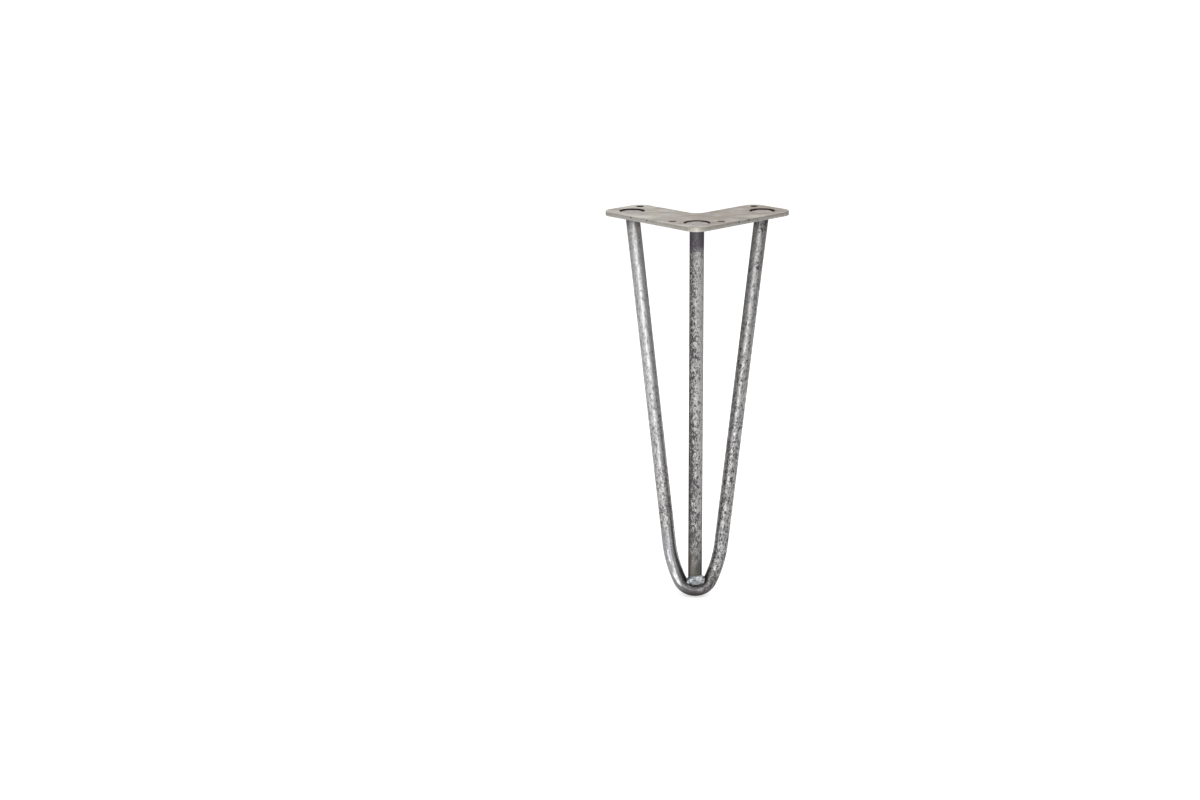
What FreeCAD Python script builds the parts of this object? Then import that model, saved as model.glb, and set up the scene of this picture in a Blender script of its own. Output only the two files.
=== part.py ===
import FreeCAD, Part
import math
import os
from FreeCAD import Vector

# Hairpin table leg in bare steel, in millimetres. A U-bent bar and one straight bar hang under an
# L-shaped plate that screws to the underside of a table's corner. Welds join all of it.
# Frame: +Z is up and Z = 0 is the face that meets the tabletop. The plate's outer corner points
# along -Y, its two arms run back at 45 degrees to either side, and X = 0 is the plane of symmetry.
# The origin lies midway between the two front screw holes.

# Overall size, from the tabletop's underside to the floor
overall_height = 305.0

# Round bar stock
bar_diameter = 11.1

# Top plate. Lengths along an arm are taken from the sharp outer corner before it is rounded.
arm_length = 108.0
arm_width = 44.0
plate_thickness = 3.2
outer_corner_radius = 11.0
inner_corner_radius = 8.0
edge_chamfer = 0.4
hole_rim_chamfer = 0.3

# Holes that the bars' ends stand in and are plug-welded through
weld_hole_diameter = 20.0
weld_hole_inset = 18.0

# Plain screw holes: one pair beside the corner hole, one pair in the arms' inner end corners
screw_hole_diameter = 6.0
screw_edge_distance = 8.5
front_screw_offset = 16.5

# Hairpin bend: a tight turn at the foot between two long, slow flanks
crotch_clearance = 2.4
tight_half_turn_degrees = 65.0
flank_radius = 100.0

# Bars' top ends, below the plate's face, and the straight bar's root gap in the bend
bar_end_recess = 1.6
root_gap = 0.3

# Plug welds: a nugget over the bar's end in a groove that is left round the hole's wall
weld_groove_depth = 2.5
arm_nugget_radius = 5.9
arm_nugget_drop = 1.2
corner_nugget_radius = 7.4
corner_nugget_drop = 0.6
nugget_crown = 0.4
nugget_flat_share = 0.6
nugget_shoulder = 0.9

# Foot weld: one bead along the inside of the tight turn, proud of both bars. Its profile's heights
# are over the bar's axis at the foot, in the hairpin's own plane.
weld_cover = 1.3
bead_half_turn_degrees = 60.0
bead_reach = 9.2
bead_low_toe = 3.6
bead_low_crest_rise = 2.0
bead_high_crest_fall = 2.9
bead_top_clearance = 0.3

# Values worked out from the sizes above
bar_radius = bar_diameter / 2
bend_radius = bar_diameter + crotch_clearance
weld_hole_radius = weld_hole_diameter / 2
screw_hole_radius = screw_hole_diameter / 2
front_screw_station = weld_hole_inset + front_screw_offset
rear_screw_station = arm_length - screw_edge_distance
rear_screw_offset = arm_width - screw_edge_distance
arm_hole_station = arm_length - weld_hole_inset
origin_setback = (front_screw_station + screw_edge_distance) / math.sqrt(2)
foot_axis_height = -overall_height + bar_radius


def plan_point(along, across, height=0.0):
    """Row-frame point for a place along and across the right arm, from the sharp outer corner."""
    x = (along - across) / math.sqrt(2)
    y = (along + across) / math.sqrt(2) - origin_setback
    return Vector(x, y, height)


def disc_cutter(along, across, radius):
    """Upright cylinder that passes right through the plate."""
    base = plan_point(along, across, -2 * plate_thickness)
    return Part.makeCylinder(radius, 3 * plate_thickness, base)


def rounded_outline(corners, radii):
    """Closed wire through the corners, each turned by a tangent arc of its own radius."""
    arcs = []
    for index, corner in enumerate(corners):
        to_last = (corners[index - 1] - corner).normalize()
        to_next = (corners[(index + 1) % len(corners)] - corner).normalize()
        half_angle = to_last.getAngle(to_next) / 2
        inward = (to_last + to_next).normalize()
        radius = radii[index]
        tangent_length = radius / math.tan(half_angle)
        arcs.append(Part.Arc(
            corner + to_last * tangent_length,
            corner + inward * (radius / math.sin(half_angle) - radius),
            corner + to_next * tangent_length,
        ))
    edges = []
    for index, arc in enumerate(arcs):
        edges.append(arc.toShape())
        edges.append(Part.LineSegment(arc.EndPoint, arcs[(index + 1) % len(arcs)].StartPoint).toShape())
    return Part.Wire(edges)


def level_edges(shape, height):
    """Edges that lie at one height."""
    return [
        edge for edge in shape.Edges
        if abs(edge.BoundBox.ZMin - height) < 1e-6 and abs(edge.BoundBox.ZMax - height) < 1e-6
    ]


def make_top_plate():
    """L-shaped sheet with rounded corners, broken edges, three weld holes and four screw holes."""
    corners = [
        plan_point(0, 0),
        plan_point(arm_length, 0),
        plan_point(arm_length, arm_width),
        plan_point(arm_width, arm_width),
        plan_point(arm_width, arm_length),
        plan_point(0, arm_length),
    ]
    radii = [outer_corner_radius] * len(corners)
    radii[3] = inner_corner_radius
    outline = Part.Face(rounded_outline(corners, radii))
    plate = outline.extrude(Vector(0, 0, -plate_thickness))
    plate = plate.makeChamfer(edge_chamfer, level_edges(plate, 0) + level_edges(plate, -plate_thickness))
    for along, across in weld_hole_places():
        plate = plate.cut(disc_cutter(along, across, weld_hole_radius))
    for along, across in screw_hole_places():
        plate = plate.cut(disc_cutter(along, across, screw_hole_radius))
    hole_rims = [edge for edge in level_edges(plate, 0) if edge.isClosed()]
    return plate.makeChamfer(hole_rim_chamfer, hole_rims)


def weld_hole_places():
    """Corner hole first, then the right and left arms' holes, as (along, across)."""
    return [
        (weld_hole_inset, weld_hole_inset),
        (arm_hole_station, weld_hole_inset),
        (weld_hole_inset, arm_hole_station),
    ]


def screw_hole_places():
    """Front pair, then rear pair, as (along, across)."""
    return [
        (front_screw_station, screw_edge_distance),
        (screw_edge_distance, front_screw_station),
        (rear_screw_station, rear_screw_offset),
        (rear_screw_offset, rear_screw_station),
    ]


def hairpin_half(reach, run):
    """Centre line of the right half in the hairpin's own plane, from the foot to the leg's end.

    The tight arc and the flank arc share a tangent, and the straight leg runs from the flank to the
    point (reach, run). Returns the edges in order, and the direction of the leg.
    """
    turn = math.radians(tight_half_turn_degrees)
    tight_centre = Vector(0, bend_radius, 0)
    outward = Vector(math.sin(turn), -math.cos(turn), 0)
    flank_centre = tight_centre + outward * (bend_radius - flank_radius)

    to_end = Vector(reach, run, 0) - flank_centre
    leg_angle = math.atan2(to_end.y, to_end.x) - math.acos(flank_radius / to_end.Length)

    def on_arc(centre, radius, angle):
        return centre + Vector(math.cos(angle), math.sin(angle), 0) * radius

    start_angle = -math.pi / 2
    join_angle = start_angle + turn
    foot = on_arc(tight_centre, bend_radius, start_angle)
    tight_middle = on_arc(tight_centre, bend_radius, (start_angle + join_angle) / 2)
    join = on_arc(tight_centre, bend_radius, join_angle)
    flank_middle = on_arc(flank_centre, flank_radius, (join_angle + leg_angle) / 2)
    leg_start = on_arc(flank_centre, flank_radius, leg_angle)
    leg_direction = Vector(-math.sin(leg_angle), math.cos(leg_angle), 0)
    leg_end = Vector(reach, run, 0) + leg_direction * (2 * plate_thickness + bar_radius)
    return [
        Part.Arc(foot, tight_middle, join).toShape(),
        Part.Arc(join, flank_middle, leg_start).toShape(),
        Part.LineSegment(leg_start, leg_end).toShape(),
    ], leg_direction


def below_recess(bar):
    """The bar with its top cut off level, at the recess below the plate's face."""
    side = 4 * arm_length
    keep_off = Part.makeBox(side, side, side, Vector(-side / 2, -side / 2, -bar_end_recess))
    return bar.cut(keep_off)


def hairpin_slope():
    """Rise and backward lean of the hairpin's plane, from the foot to the arms' weld holes."""
    corner_hole = plan_point(weld_hole_inset, weld_hole_inset)
    arm_hole = plan_point(arm_hole_station, weld_hole_inset, -plate_thickness / 2)
    return arm_hole.z - foot_axis_height, arm_hole.y - corner_hole.y


def lean_back(shape):
    """Takes a shape from the hairpin's own plane, with its foot at the origin, to its place."""
    rise, lean = hairpin_slope()
    foot = plan_point(weld_hole_inset, weld_hole_inset, foot_axis_height)
    shape.rotate(Vector(0, 0, 0), Vector(1, 0, 0), math.degrees(math.atan2(rise, lean)))
    shape.translate(foot)
    return shape


def make_hairpin_bar():
    """One round bar swept along a U that leans back from the foot to the arms' weld holes."""
    arm_hole = plan_point(arm_hole_station, weld_hole_inset)
    right_half, leg_direction = hairpin_half(arm_hole.x, math.hypot(*hairpin_slope()))
    mirror_plane = (Vector(0, 0, 0), Vector(1, 0, 0))
    left_half = [edge.mirror(*mirror_plane) for edge in right_half]
    path = Part.Wire(Part.__sortEdges__(right_half + left_half))

    leg_end = Vector(right_half[2].valueAt(right_half[2].LastParameter))
    circle = Part.Circle(leg_end, leg_direction, bar_radius)
    profile = Part.Wire(circle.toShape())
    return below_recess(lean_back(path.makePipeShell([profile], True, True)))


def corner_bar_end_height():
    """Height of the straight bar's lower end, where its rim meets the inside of the tight turn."""
    inner_radius = bend_radius - bar_radius
    seat = bend_radius - math.sqrt(inner_radius ** 2 - bar_radius ** 2)
    return foot_axis_height + seat + root_gap


def make_corner_bar():
    """Straight upright bar from the corner hole down into the bend."""
    corner_hole = plan_point(weld_hole_inset, weld_hole_inset)
    low_end = corner_bar_end_height()
    base = Vector(corner_hole.x, corner_hole.y, low_end)
    return Part.makeCylinder(bar_radius, -bar_end_recess - low_end, base)


def make_plug_weld(place, nugget_radius, nugget_drop, bar):
    """Weld that fills a weld hole round a bar's end, turned about the hole's axis."""
    groove_floor = -weld_groove_depth
    shoulder_radius = nugget_radius + nugget_shoulder
    profile = [
        (0, -plate_thickness),
        (weld_hole_radius, -plate_thickness),
        (weld_hole_radius, groove_floor),
        (shoulder_radius, groove_floor),
        (nugget_radius, -nugget_drop - nugget_crown),
        (nugget_radius * nugget_flat_share, -nugget_drop),
        (0, -nugget_drop),
    ]
    points = [Vector(radius, 0, height) for radius, height in profile]
    face = Part.Face(Part.makePolygon(points + [points[0]]))
    weld = face.revolve(Vector(0, 0, 0), Vector(0, 0, 1), 360)
    weld.translate(plan_point(*place))
    return weld.cut(bar)


def make_foot_weld(hairpin_bar, corner_bar):
    """Bead turned about the bend's own axis, trimmed round the straight bar and seated on both bars."""
    rise, lean = hairpin_slope()
    high_toe = bend_radius - bead_top_clearance
    low_crest = bead_low_toe + bead_low_crest_rise
    high_crest = high_toe - bead_high_crest_fall

    def face_point(height, side, cover):
        return Vector(0, height, side * (bar_radius + cover) + height * lean / rise)

    front = [
        Vector(0, bead_low_toe, bar_radius - weld_cover),
        face_point(low_crest, 1, weld_cover),
        face_point(high_crest, 1, weld_cover),
        face_point(high_toe, 1, 0),
    ]
    back = [
        face_point(high_toe, -1, 0),
        face_point(high_crest, -1, weld_cover),
        face_point(low_crest, -1, weld_cover),
        Vector(0, bead_low_toe, weld_cover - bar_radius),
    ]
    face = Part.Face(Part.makePolygon(front + back + [Vector(0, 0, 0), front[0]]))
    bend_centre = Vector(0, bend_radius, 0)
    face.rotate(bend_centre, Vector(0, 0, 1), -bead_half_turn_degrees)
    bead = lean_back(face.revolve(bend_centre, Vector(0, 0, 1), 2 * bead_half_turn_degrees))

    foot = plan_point(weld_hole_inset, weld_hole_inset, -overall_height)
    bead = bead.common(Part.makeCylinder(bead_reach, 2 * bend_radius, foot))
    return bead.cut(hairpin_bar).cut(corner_bar)


def main():
    """Builds every piece and writes one STEP file for each."""
    hairpin_bar = make_hairpin_bar()
    corner_bar = make_corner_bar()
    corner_place, right_place, left_place = weld_hole_places()
    pieces = {
        "top_plate": make_top_plate(),
        "hairpin_bar": hairpin_bar,
        "corner_bar": corner_bar,
        "foot_weld": make_foot_weld(hairpin_bar, corner_bar),
        "corner_plate_weld": make_plug_weld(corner_place, corner_nugget_radius, corner_nugget_drop, corner_bar),
        "left_plate_weld": make_plug_weld(left_place, arm_nugget_radius, arm_nugget_drop, hairpin_bar),
        "right_plate_weld": make_plug_weld(right_place, arm_nugget_radius, arm_nugget_drop, hairpin_bar),
    }
    os.makedirs("parts", exist_ok=True)
    for name, shape in pieces.items():
        shape.exportStep("parts/" + name + ".step")
        box = shape.BoundBox
        print(name, "solids", len(shape.Solids), "valid", shape.isValid(), "volume", round(shape.Volume, 1))
        print("   x", round(box.XMin, 2), round(box.XMax, 2), "y", round(box.YMin, 2), round(box.YMax, 2),
              "z", round(box.ZMin, 2), round(box.ZMax, 2))


main()
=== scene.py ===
import math
from collections import namedtuple

import bmesh
import bpy
from bpy.props import FloatProperty, FloatVectorProperty, IntProperty, PointerProperty
from mathutils import Matrix, Vector, noise


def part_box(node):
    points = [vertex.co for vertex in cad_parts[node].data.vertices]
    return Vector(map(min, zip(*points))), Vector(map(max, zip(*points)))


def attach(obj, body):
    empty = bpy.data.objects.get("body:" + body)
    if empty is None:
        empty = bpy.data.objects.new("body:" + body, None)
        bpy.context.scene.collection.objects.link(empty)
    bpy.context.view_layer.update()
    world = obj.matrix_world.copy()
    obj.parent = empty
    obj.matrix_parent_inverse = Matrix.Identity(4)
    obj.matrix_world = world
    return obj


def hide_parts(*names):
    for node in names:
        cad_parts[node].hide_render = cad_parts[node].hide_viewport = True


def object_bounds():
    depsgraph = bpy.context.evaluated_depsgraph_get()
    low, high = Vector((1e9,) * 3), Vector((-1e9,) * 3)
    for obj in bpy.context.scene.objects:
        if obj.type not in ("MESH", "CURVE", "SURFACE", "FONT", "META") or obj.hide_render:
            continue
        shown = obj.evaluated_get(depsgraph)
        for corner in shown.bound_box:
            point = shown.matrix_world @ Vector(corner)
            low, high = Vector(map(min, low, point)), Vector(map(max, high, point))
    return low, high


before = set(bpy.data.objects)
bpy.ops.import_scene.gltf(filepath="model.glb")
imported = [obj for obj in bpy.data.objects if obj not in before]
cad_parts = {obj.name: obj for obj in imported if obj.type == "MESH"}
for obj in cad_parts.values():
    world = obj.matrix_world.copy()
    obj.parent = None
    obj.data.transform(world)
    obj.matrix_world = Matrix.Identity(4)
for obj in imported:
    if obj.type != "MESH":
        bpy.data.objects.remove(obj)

bl_info = {
    "name": "Hairpin Table Leg",
    "version": (1, 0, 0),
    "blender": (4, 5, 0),
    "location": "3D View > Sidebar > Hairpin Leg",
    "description": "Dresses a welded hairpin table leg in bare sheet steel, mill-scaled bar and weld metal",
    "category": "Object",
}

# The frame's boxes, in metres. Z = 0 is the face under the tabletop, and X = 0 the plane of symmetry.
MM = 0.001
PLATE_LOW, PLATE_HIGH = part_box("top_plate")
CORNER_LOW, CORNER_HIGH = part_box("corner_bar")
WELD_LOW, WELD_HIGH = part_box("foot_weld")
LEG_LOW, LEG_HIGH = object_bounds()
BAR_RADIUS = (CORNER_HIGH.x - CORNER_LOW.x) / 2
CORNER_AXIS_Y = (CORNER_LOW.y + CORNER_HIGH.y) / 2
# Where the straight bar's axis meets the plate's underside
CORNER_TOP = Vector((0, CORNER_AXIS_Y, PLATE_LOW.z))

# The straight bar lies this far aside of the hairpin in the scale's pattern
PATTERN_ASIDE = 50 * MM
# Steps in which a straight run of bar is drawn out
DRAWN_STEPS = 24

HairpinPath = namedtuple(
    "HairpinPath", "place tight_centre flank_centre flank_turn leg_start leg_direction leg_length")


def linear_from_hex(code):
    """Turns an sRGB hex colour into the linear red, green, blue and alpha that shaders take."""
    parts = [int(code[place:place + 2], 16) / 255 for place in (1, 3, 5)]
    return [part / 12.92 if part <= 0.04045 else ((part + 0.055) / 1.055) ** 2.4 for part in parts] + [1.0]


class HairpinLegSizes(bpy.types.PropertyGroup):
    """Sizes that the dressed leg is built from; those of the bars' stock come from the frame."""
    arm_length: FloatProperty(
        name="Arm length", description="Length of a plate arm, from the sharp outer corner",
        default=108.0 * MM, unit="LENGTH")
    arm_width: FloatProperty(
        name="Arm width", description="Width of a plate arm",
        default=44.0 * MM, unit="LENGTH")
    origin_setback: FloatProperty(
        name="Origin setback", description="Distance from the sharp outer corner back to the origin",
        default=30.4056 * MM, unit="LENGTH")
    outer_corner_radius: FloatProperty(
        name="Outer corner radius", description="Radius of the plate's outer corners in plan",
        default=11.0 * MM, unit="LENGTH")
    inner_corner_radius: FloatProperty(
        name="Inner corner radius", description="Radius in the crook between the two arms",
        default=8.0 * MM, unit="LENGTH")
    edge_round: FloatProperty(
        name="Edge round", description="Wear on the plate's cut edges",
        default=0.45 * MM, unit="LENGTH")
    weld_hole_radius: FloatProperty(
        name="Weld hole radius", description="Radius of the holes that the bars are welded in",
        default=10.0 * MM, unit="LENGTH")
    weld_hole_inset: FloatProperty(
        name="Weld hole inset", description="Distance of each weld hole from the plate's outer edges",
        default=18.0 * MM, unit="LENGTH")
    screw_hole_radius: FloatProperty(
        name="Screw hole radius", description="Radius of the four screw holes",
        default=3.0 * MM, unit="LENGTH")
    screw_edge_distance: FloatProperty(
        name="Screw edge distance", description="Distance of a screw hole from the nearest edges",
        default=8.5 * MM, unit="LENGTH")
    front_screw_station: FloatProperty(
        name="Front screw station", description="Distance of the front screw holes along their arms",
        default=34.5 * MM, unit="LENGTH")
    bend_radius: FloatProperty(
        name="Bend radius", description="Radius of the bar's centre line round the foot",
        default=13.5 * MM, unit="LENGTH")
    flank_radius: FloatProperty(
        name="Flank radius", description="Radius of the slow curve between the foot and each leg",
        default=100.0 * MM, unit="LENGTH")
    tight_half_turn: FloatProperty(
        name="Tight half turn", description="Angle of the tight bend, from the foot to each side",
        default=math.radians(65.0), subtype="ANGLE")
    bar_end_recess: FloatProperty(
        name="Bar end recess", description="Depth of the bars' top ends below the plate's face",
        default=1.6 * MM, unit="LENGTH")
    bar_sides: IntProperty(
        name="Bar sides", description="Facets round a bar", default=64, min=12)


class HairpinLegColours(bpy.types.PropertyGroup):
    """Colours of the bare metals and of the stage."""
    sheet_steel: FloatVectorProperty(
        name="Sheet steel", description="Bare sheet of the top plate",
        default=linear_from_hex("#A9A69F"), subtype="COLOR", size=4, min=0, max=1)
    sheet_steel_shade: FloatVectorProperty(
        name="Sheet steel, handled", description="Darker handled streaks on the sheet",
        default=linear_from_hex("#7D746A"), subtype="COLOR", size=4, min=0, max=1)
    heat_tint: FloatVectorProperty(
        name="Heat tint", description="Straw and brown oxide that the welding leaves round a weld hole",
        default=linear_from_hex("#93867A"), subtype="COLOR", size=4, min=0, max=1)
    # Brighter steel on the cut edges, partly a painted sheen on their upright faces
    cut_edge: FloatVectorProperty(
        name="Cut edge", description="Brighter steel on the plate's sheared edge",
        default=linear_from_hex("#B9B7B1"), subtype="COLOR", size=4, min=0, max=1)
    # Dark oxide and painted shade on the holes' walls; also the colour of the nicks
    cut_wall: FloatVectorProperty(
        name="Cut wall", description="Dark oxide on the walls of the cut holes",
        default=linear_from_hex("#463F3A"), subtype="COLOR", size=4, min=0, max=1)
    # Also painted on the straight bar's right side as a highlight
    scale_light: FloatVectorProperty(
        name="Mill scale, worn", description="Bar where the scale is thin and rubbed",
        default=linear_from_hex("#A9A8A7"), subtype="COLOR", size=4, min=0, max=1)
    scale_dark: FloatVectorProperty(
        name="Mill scale, whole", description="Bar where the blue-black scale is still whole",
        default=linear_from_hex("#464445"), subtype="COLOR", size=4, min=0, max=1)
    ground_steel: FloatVectorProperty(
        name="Ground steel", description="Bar where the scale has been ground off",
        default=linear_from_hex("#D0D0D0"), subtype="COLOR", size=4, min=0, max=1)
    ground_mark: FloatVectorProperty(
        name="Grinding mark", description="Darker marks along the ground steel",
        default=linear_from_hex("#ADABAB"), subtype="COLOR", size=4, min=0, max=1)
    # Heat tint, and painted shade from the plate, just under the plate
    heated_scale: FloatVectorProperty(
        name="Heated scale", description="Bar just under the plate, purple-grey from the welding's heat",
        default=linear_from_hex("#4A464C"), subtype="COLOR", size=4, min=0, max=1)
    # Lighter partly as a painted sheen down the left flank
    burnished_scale: FloatVectorProperty(
        name="Burnished scale", description="Smooth scale down the left flank",
        default=linear_from_hex("#8B8C8E"), subtype="COLOR", size=4, min=0, max=1)
    # Painted shade: the dark reflection round the foot
    bend_scale: FloatVectorProperty(
        name="Bend scale", description="Smooth dark scale round the foot",
        default=linear_from_hex("#56575B"), subtype="COLOR", size=4, min=0, max=1)
    brown_oxide: FloatVectorProperty(
        name="Brown oxide", description="Bar beside the foot's weld",
        default=linear_from_hex("#504D48"), subtype="COLOR", size=4, min=0, max=1)
    weld_bright: FloatVectorProperty(
        name="Weld metal", description="Bead as it left the torch",
        default=linear_from_hex("#7D858B"), subtype="COLOR", size=4, min=0, max=1)
    plug_bright: FloatVectorProperty(
        name="Plug weld", description="Face of a plug weld, ground once with the plate",
        default=linear_from_hex("#958B87"), subtype="COLOR", size=4, min=0, max=1)
    plug_crest: FloatVectorProperty(
        name="Plug crest", description="Lighter parts of a plug weld",
        default=linear_from_hex("#AAA29E"), subtype="COLOR", size=4, min=0, max=1)
    weld_crest: FloatVectorProperty(
        name="Weld crest", description="Whitest parts of the bead",
        default=linear_from_hex("#BFC1C1"), subtype="COLOR", size=4, min=0, max=1)
    # Also painted as shade under the bend and round the foot's weld
    weld_soot: FloatVectorProperty(
        name="Weld soot", description="Oxide and soot in the hollows of a bead",
        default=linear_from_hex("#3F3B3A"), subtype="COLOR", size=4, min=0, max=1)
    card: FloatVectorProperty(
        name="Card", description="Grey card that the bars mirror at their sides",
        default=linear_from_hex("#7C7C7C"), subtype="COLOR", size=4, min=0, max=1)
    floor: FloatVectorProperty(
        name="Floor", description="Plain studio floor",
        default=linear_from_hex("#F4F4F4"), subtype="COLOR", size=4, min=0, max=1)


def sizes():
    return bpy.context.scene.hairpin_leg_sizes


def colours():
    return bpy.context.scene.hairpin_leg_colours


def plan_point(along, across, height=0.0):
    """Frame point for a place along and across the right arm, from the sharp outer corner."""
    x = (along - across) / math.sqrt(2)
    y = (along + across) / math.sqrt(2) - sizes().origin_setback
    return Vector((x, y, height))


def weld_hole_centres():
    """Corner hole first, then the right and left arms' holes."""
    size = sizes()
    near = size.weld_hole_inset
    far = size.arm_length - size.weld_hole_inset
    return [plan_point(near, near), plan_point(far, near), plan_point(near, far)]


def screw_hole_centres():
    """Front pair, then rear pair."""
    size = sizes()
    edge = size.screw_edge_distance
    front = size.front_screw_station
    rear_along = size.arm_length - edge
    rear_across = size.arm_width - edge
    return [
        plan_point(front, edge),
        plan_point(edge, front),
        plan_point(rear_along, rear_across),
        plan_point(rear_across, rear_along),
    ]


# Nodes and materials

def feed(tree, node, links):
    """Links or sets a node's inputs. A node given for one is linked by its first output in use."""
    for socket, value in links.items():
        if isinstance(value, bpy.types.Node):
            value = next(output for output in value.outputs if output.enabled)
        if isinstance(value, bpy.types.NodeSocket):
            tree.links.new(value, node.inputs[socket])
        else:
            node.inputs[socket].default_value = value
    return node


def add(tree, kind, links, **settings):
    """Adds a shader node, sets its properties, and links or sets its inputs.

    The kind is the name of the node's type without the ShaderNode that it starts with.
    """
    node = tree.nodes.new("ShaderNode" + kind)
    for name, value in settings.items():
        setattr(node, name, value)
    return feed(tree, node, links)


def set_stops(ramp, stops):
    """Gives a colour ramp its stops, as (position, grey level), and gives the node back."""
    elements = ramp.color_ramp.elements
    while len(elements) < len(stops):
        elements.new(1.0)
    for element, (position, level) in zip(elements, stops):
        element.position = position
        element.color = (level, level, level, 1.0)
    return ramp


def overlay(tree, base, finishes):
    """Lays finishes over a base colour, as (share that shows, colour or node)."""
    under = base
    for share, finish in finishes:
        under = add(tree, "Mix", {"Factor": share, "A": under, "B": finish}, data_type="RGBA")
    return under


def new_material(name):
    """A material with a bare Principled shader, as (material, tree, shader)."""
    material = bpy.data.materials.new(name)
    material.use_nodes = True
    tree = material.node_tree
    return material, tree, tree.nodes["Principled BSDF"]


def distance_from_axis(tree, position, centre):
    """Node with the distance in metres from an upright axis."""
    flat = add(tree, "VectorMath", {0: position, 1: (1.0, 1.0, 0.0)}, operation="MULTIPLY")
    return add(tree, "VectorMath", {0: flat, 1: (centre.x, centre.y, 0.0)}, operation="DISTANCE")


def smaller_of(tree, values):
    """Node with the least of several values."""
    least = values[0]
    for value in values[1:]:
        least = add(tree, "Math", {0: least, 1: value}, operation="MINIMUM")
    return least


def from_weld_holes(tree, position):
    """Node with the distance from the nearest weld hole's axis."""
    return smaller_of(tree, [distance_from_axis(tree, position, centre) for centre in weld_hole_centres()])


def handled_share(tree, position, stains, grain):
    """Share of darker, handled sheet: more from the crook to the right arm, less along the front edges."""
    size = sizes()
    axes = add(tree, "SeparateXYZ", {0: position})
    handled = add(tree, "MapRange", {
        "Value": axes.outputs["X"], "From Min": -55 * MM, "From Max": 5 * MM, "To Min": 0.0, "To Max": 0.36})
    aside = add(tree, "Math", {0: axes.outputs["X"]}, operation="ABSOLUTE")
    behind_front = add(tree, "Math", {0: axes.outputs["Y"], 1: aside}, operation="SUBTRACT")
    cleaned = add(tree, "MapRange", {
        "Value": behind_front, "From Min": 6 * MM - size.origin_setback,
        "From Max": 22 * MM - size.origin_setback, "To Min": -0.15, "To Max": 0.0})
    shade = add(tree, "Math", {0: stains, 1: handled}, operation="ADD")
    shade = add(tree, "Math", {0: shade, 1: cleaned}, operation="ADD")
    shade = add(tree, "Math", {0: grain, 1: 0.4, 2: shade}, operation="MULTIPLY_ADD")
    return add(tree, "MapRange", {"Value": shade, "From Min": 0.8, "From Max": 1.32})


def heat_tint_share(tree, position):
    """Share of heat tint, in a wavering band 2 to 18 mm outside each weld hole, strongest at 7 mm."""
    size = sizes()
    wobble = add(tree, "TexNoise", {"Vector": position, "Scale": 1 / (9 * MM), "Detail": 2.0})
    from_weld = add(tree, "Math", {
        0: wobble, 1: 7 * MM, 2: from_weld_holes(tree, position)}, operation="MULTIPLY_ADD")
    band = add(tree, "MapRange", {
        "Value": from_weld, "From Min": size.weld_hole_radius + 6 * MM,
        "From Max": size.weld_hole_radius + 22 * MM})
    return set_stops(add(tree, "ValToRGB", {"Fac": band}),
                     [(0.0, 0.0), (0.3, 0.32), (0.55, 0.25), (1.0, 0.0)])


def sheared_share(tree, coordinates):
    """Share of brighter metal on the plate's upright edges, sheared steel and partly a painted sheen, with
    upright marks about 1 mm apart.
    """
    position = coordinates.outputs["Object"]
    facing = add(tree, "SeparateXYZ", {0: coordinates.outputs["Normal"]}).outputs["Z"]
    level = add(tree, "Math", {0: facing}, operation="ABSOLUTE")
    on_edge = add(tree, "MapRange", {
        "Value": level, "From Min": 0.5, "From Max": 0.85, "To Min": 1.0, "To Max": 0.0})
    # The lower part of the edge is brighter than the upper part
    height = add(tree, "SeparateXYZ", {0: position}).outputs["Z"]
    blade = add(tree, "MapRange", {
        "Value": height, "From Min": -2.2 * MM, "From Max": -1.0 * MM, "To Min": 1.0, "To Max": 0.5})
    upright = add(tree, "Mapping", {"Vector": position, "Scale": (1.0, 1.0, 0.2)})
    marks = add(tree, "TexNoise", {
        "Vector": upright, "Scale": 1 / (1.2 * MM), "Detail": 3.0, "Roughness": 0.7})
    marks = set_stops(add(tree, "ValToRGB", {"Fac": marks}), [(0.35, 0.35), (0.6, 1.0)])
    sheared = add(tree, "Math", {0: on_edge, 1: blade}, operation="MULTIPLY")
    return add(tree, "Math", {0: sheared, 1: marks}, operation="MULTIPLY")


def hole_wall_share(tree, position):
    """Share of dark oxide and painted shade on the walls of the holes, below their rounded rims."""
    size = sizes()
    # Painted shade: the front screw holes' walls are painted half as dark, as if lit, so their dark starts
    # 0.27 mm inside the wall
    past_wall = [
        add(tree, "Math", {0: distance_from_axis(tree, position, centre), 1: radius}, operation="SUBTRACT")
        for centres, radius in (
            (weld_hole_centres(), size.weld_hole_radius),
            (screw_hole_centres()[2:], size.screw_hole_radius),
            (screw_hole_centres()[:2], size.screw_hole_radius - 0.27 * MM),
        )
        for centre in centres
    ]
    return add(tree, "MapRange", {
        "Value": smaller_of(tree, past_wall), "From Min": 0.12 * MM, "From Max": 0.45 * MM,
        "To Min": 1.0, "To Max": 0.0})


def nick_share(tree, position, drawn_out):
    """Share of the nicks: scattered ones up to 2 mm long, and four larger ones on the front edges."""
    cells = add(tree, "TexVoronoi", {"Vector": drawn_out, "Scale": 1 / (7 * MM)})
    scattered = set_stops(add(tree, "ValToRGB", {"Fac": cells}), [(0.05, 0.8), (0.1, 0.0)])
    to_nick = [
        add(tree, "VectorMath", {0: position, 1: plan_point(along, across, -0.7 * MM)}, operation="DISTANCE")
        for along, across in ((0, 54 * MM), (0, 72 * MM), (45 * MM, 0), (56 * MM, 0))
    ]
    larger = add(tree, "MapRange", {
        "Value": smaller_of(tree, to_nick), "From Min": 0.5 * MM, "From Max": 1.1 * MM,
        "To Min": 0.8, "To Max": 0.0})
    return add(tree, "Math", {0: scattered, 1: larger}, operation="MAXIMUM")


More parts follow.
